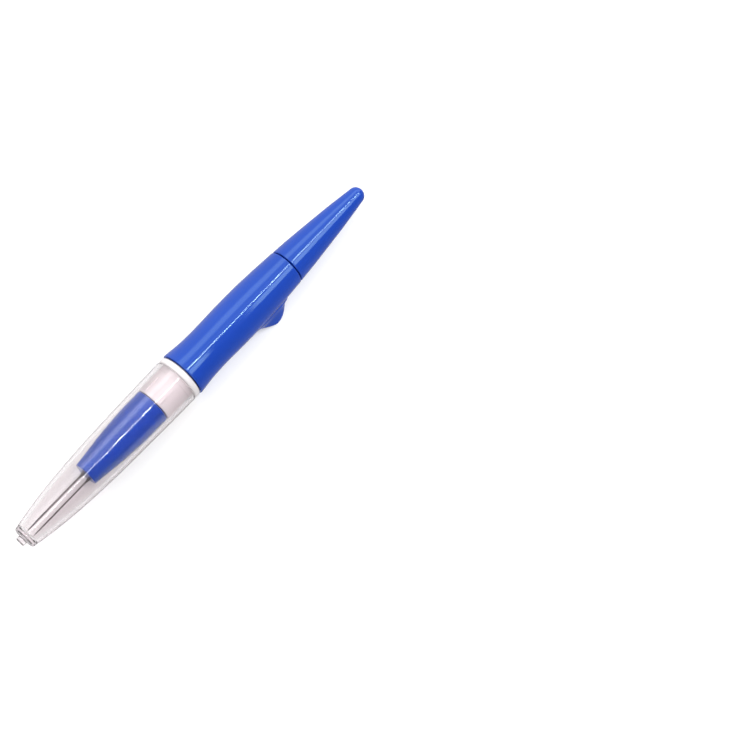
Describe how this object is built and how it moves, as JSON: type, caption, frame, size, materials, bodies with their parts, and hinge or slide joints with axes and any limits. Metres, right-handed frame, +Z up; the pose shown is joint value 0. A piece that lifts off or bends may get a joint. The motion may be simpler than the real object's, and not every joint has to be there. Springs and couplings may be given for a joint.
{
  "type": "needle felting pen",
  "caption": "Pen-shaped tool that holds barbed felting needles in a white core, with a waisted plastic grip, a tapered tail, an anti-roll lug and a clear push-on cap.",
  "frame": {"origin": "bottom centre of the pen's bounding box, on the table it lies on", "axes": "+X along the pen from the cap to the tail, dipping 1.4 degrees towards the tail as it rests; -Y on the anti-roll lug's side; +Z up"},
  "size_m": [0.1688, 0.0182, 0.0175],
  "materials": {
    "clear_plastic": "clear, polished",
    "blue_plastic": "gloss, moulded",
    "white_plastic": "semi-gloss, moulded",
    "needle_steel": "hardened, ground"
  },
  "bodies": {
    "barrel": {"barrel": "blue_plastic"},
    "tail": {"tail_cone": "blue_plastic"},
    "holder": {"needle_holder": "white_plastic", "needle_1": "needle_steel", "needle_2": "needle_steel", "needle_3": "needle_steel"},
    "retainer": {"needle_retainer": "white_plastic"},
    "nose": {"nose_cone": "blue_plastic"},
    "cap": {"cap": "clear_plastic"}
  },
  "joints": [
    {"name": "tail_pull", "type": "slide", "parent": "barrel", "child": "tail", "axis": [0.9997, 0, -0.0244], "range_m": [0, 0.012]},
    {"name": "holder_pull", "type": "slide", "parent": "barrel", "child": "holder", "axis": [-0.9997, 0, 0.0244], "range_m": [0, 0.018]},
    {"name": "retainer_pull", "type": "slide", "parent": "holder", "child": "retainer", "axis": [0.9997, 0, -0.0244], "range_m": [0, 0.0095]},
    {"name": "nose_pull", "type": "slide", "parent": "holder", "child": "nose", "axis": [-0.9997, 0, 0.0244], "range_m": [0, 0.0095]},
    {"name": "cap_pull", "type": "slide", "parent": "holder", "child": "cap", "axis": [-0.9997, 0, 0.0244], "range_m": [0, 0.09]}
  ]
}
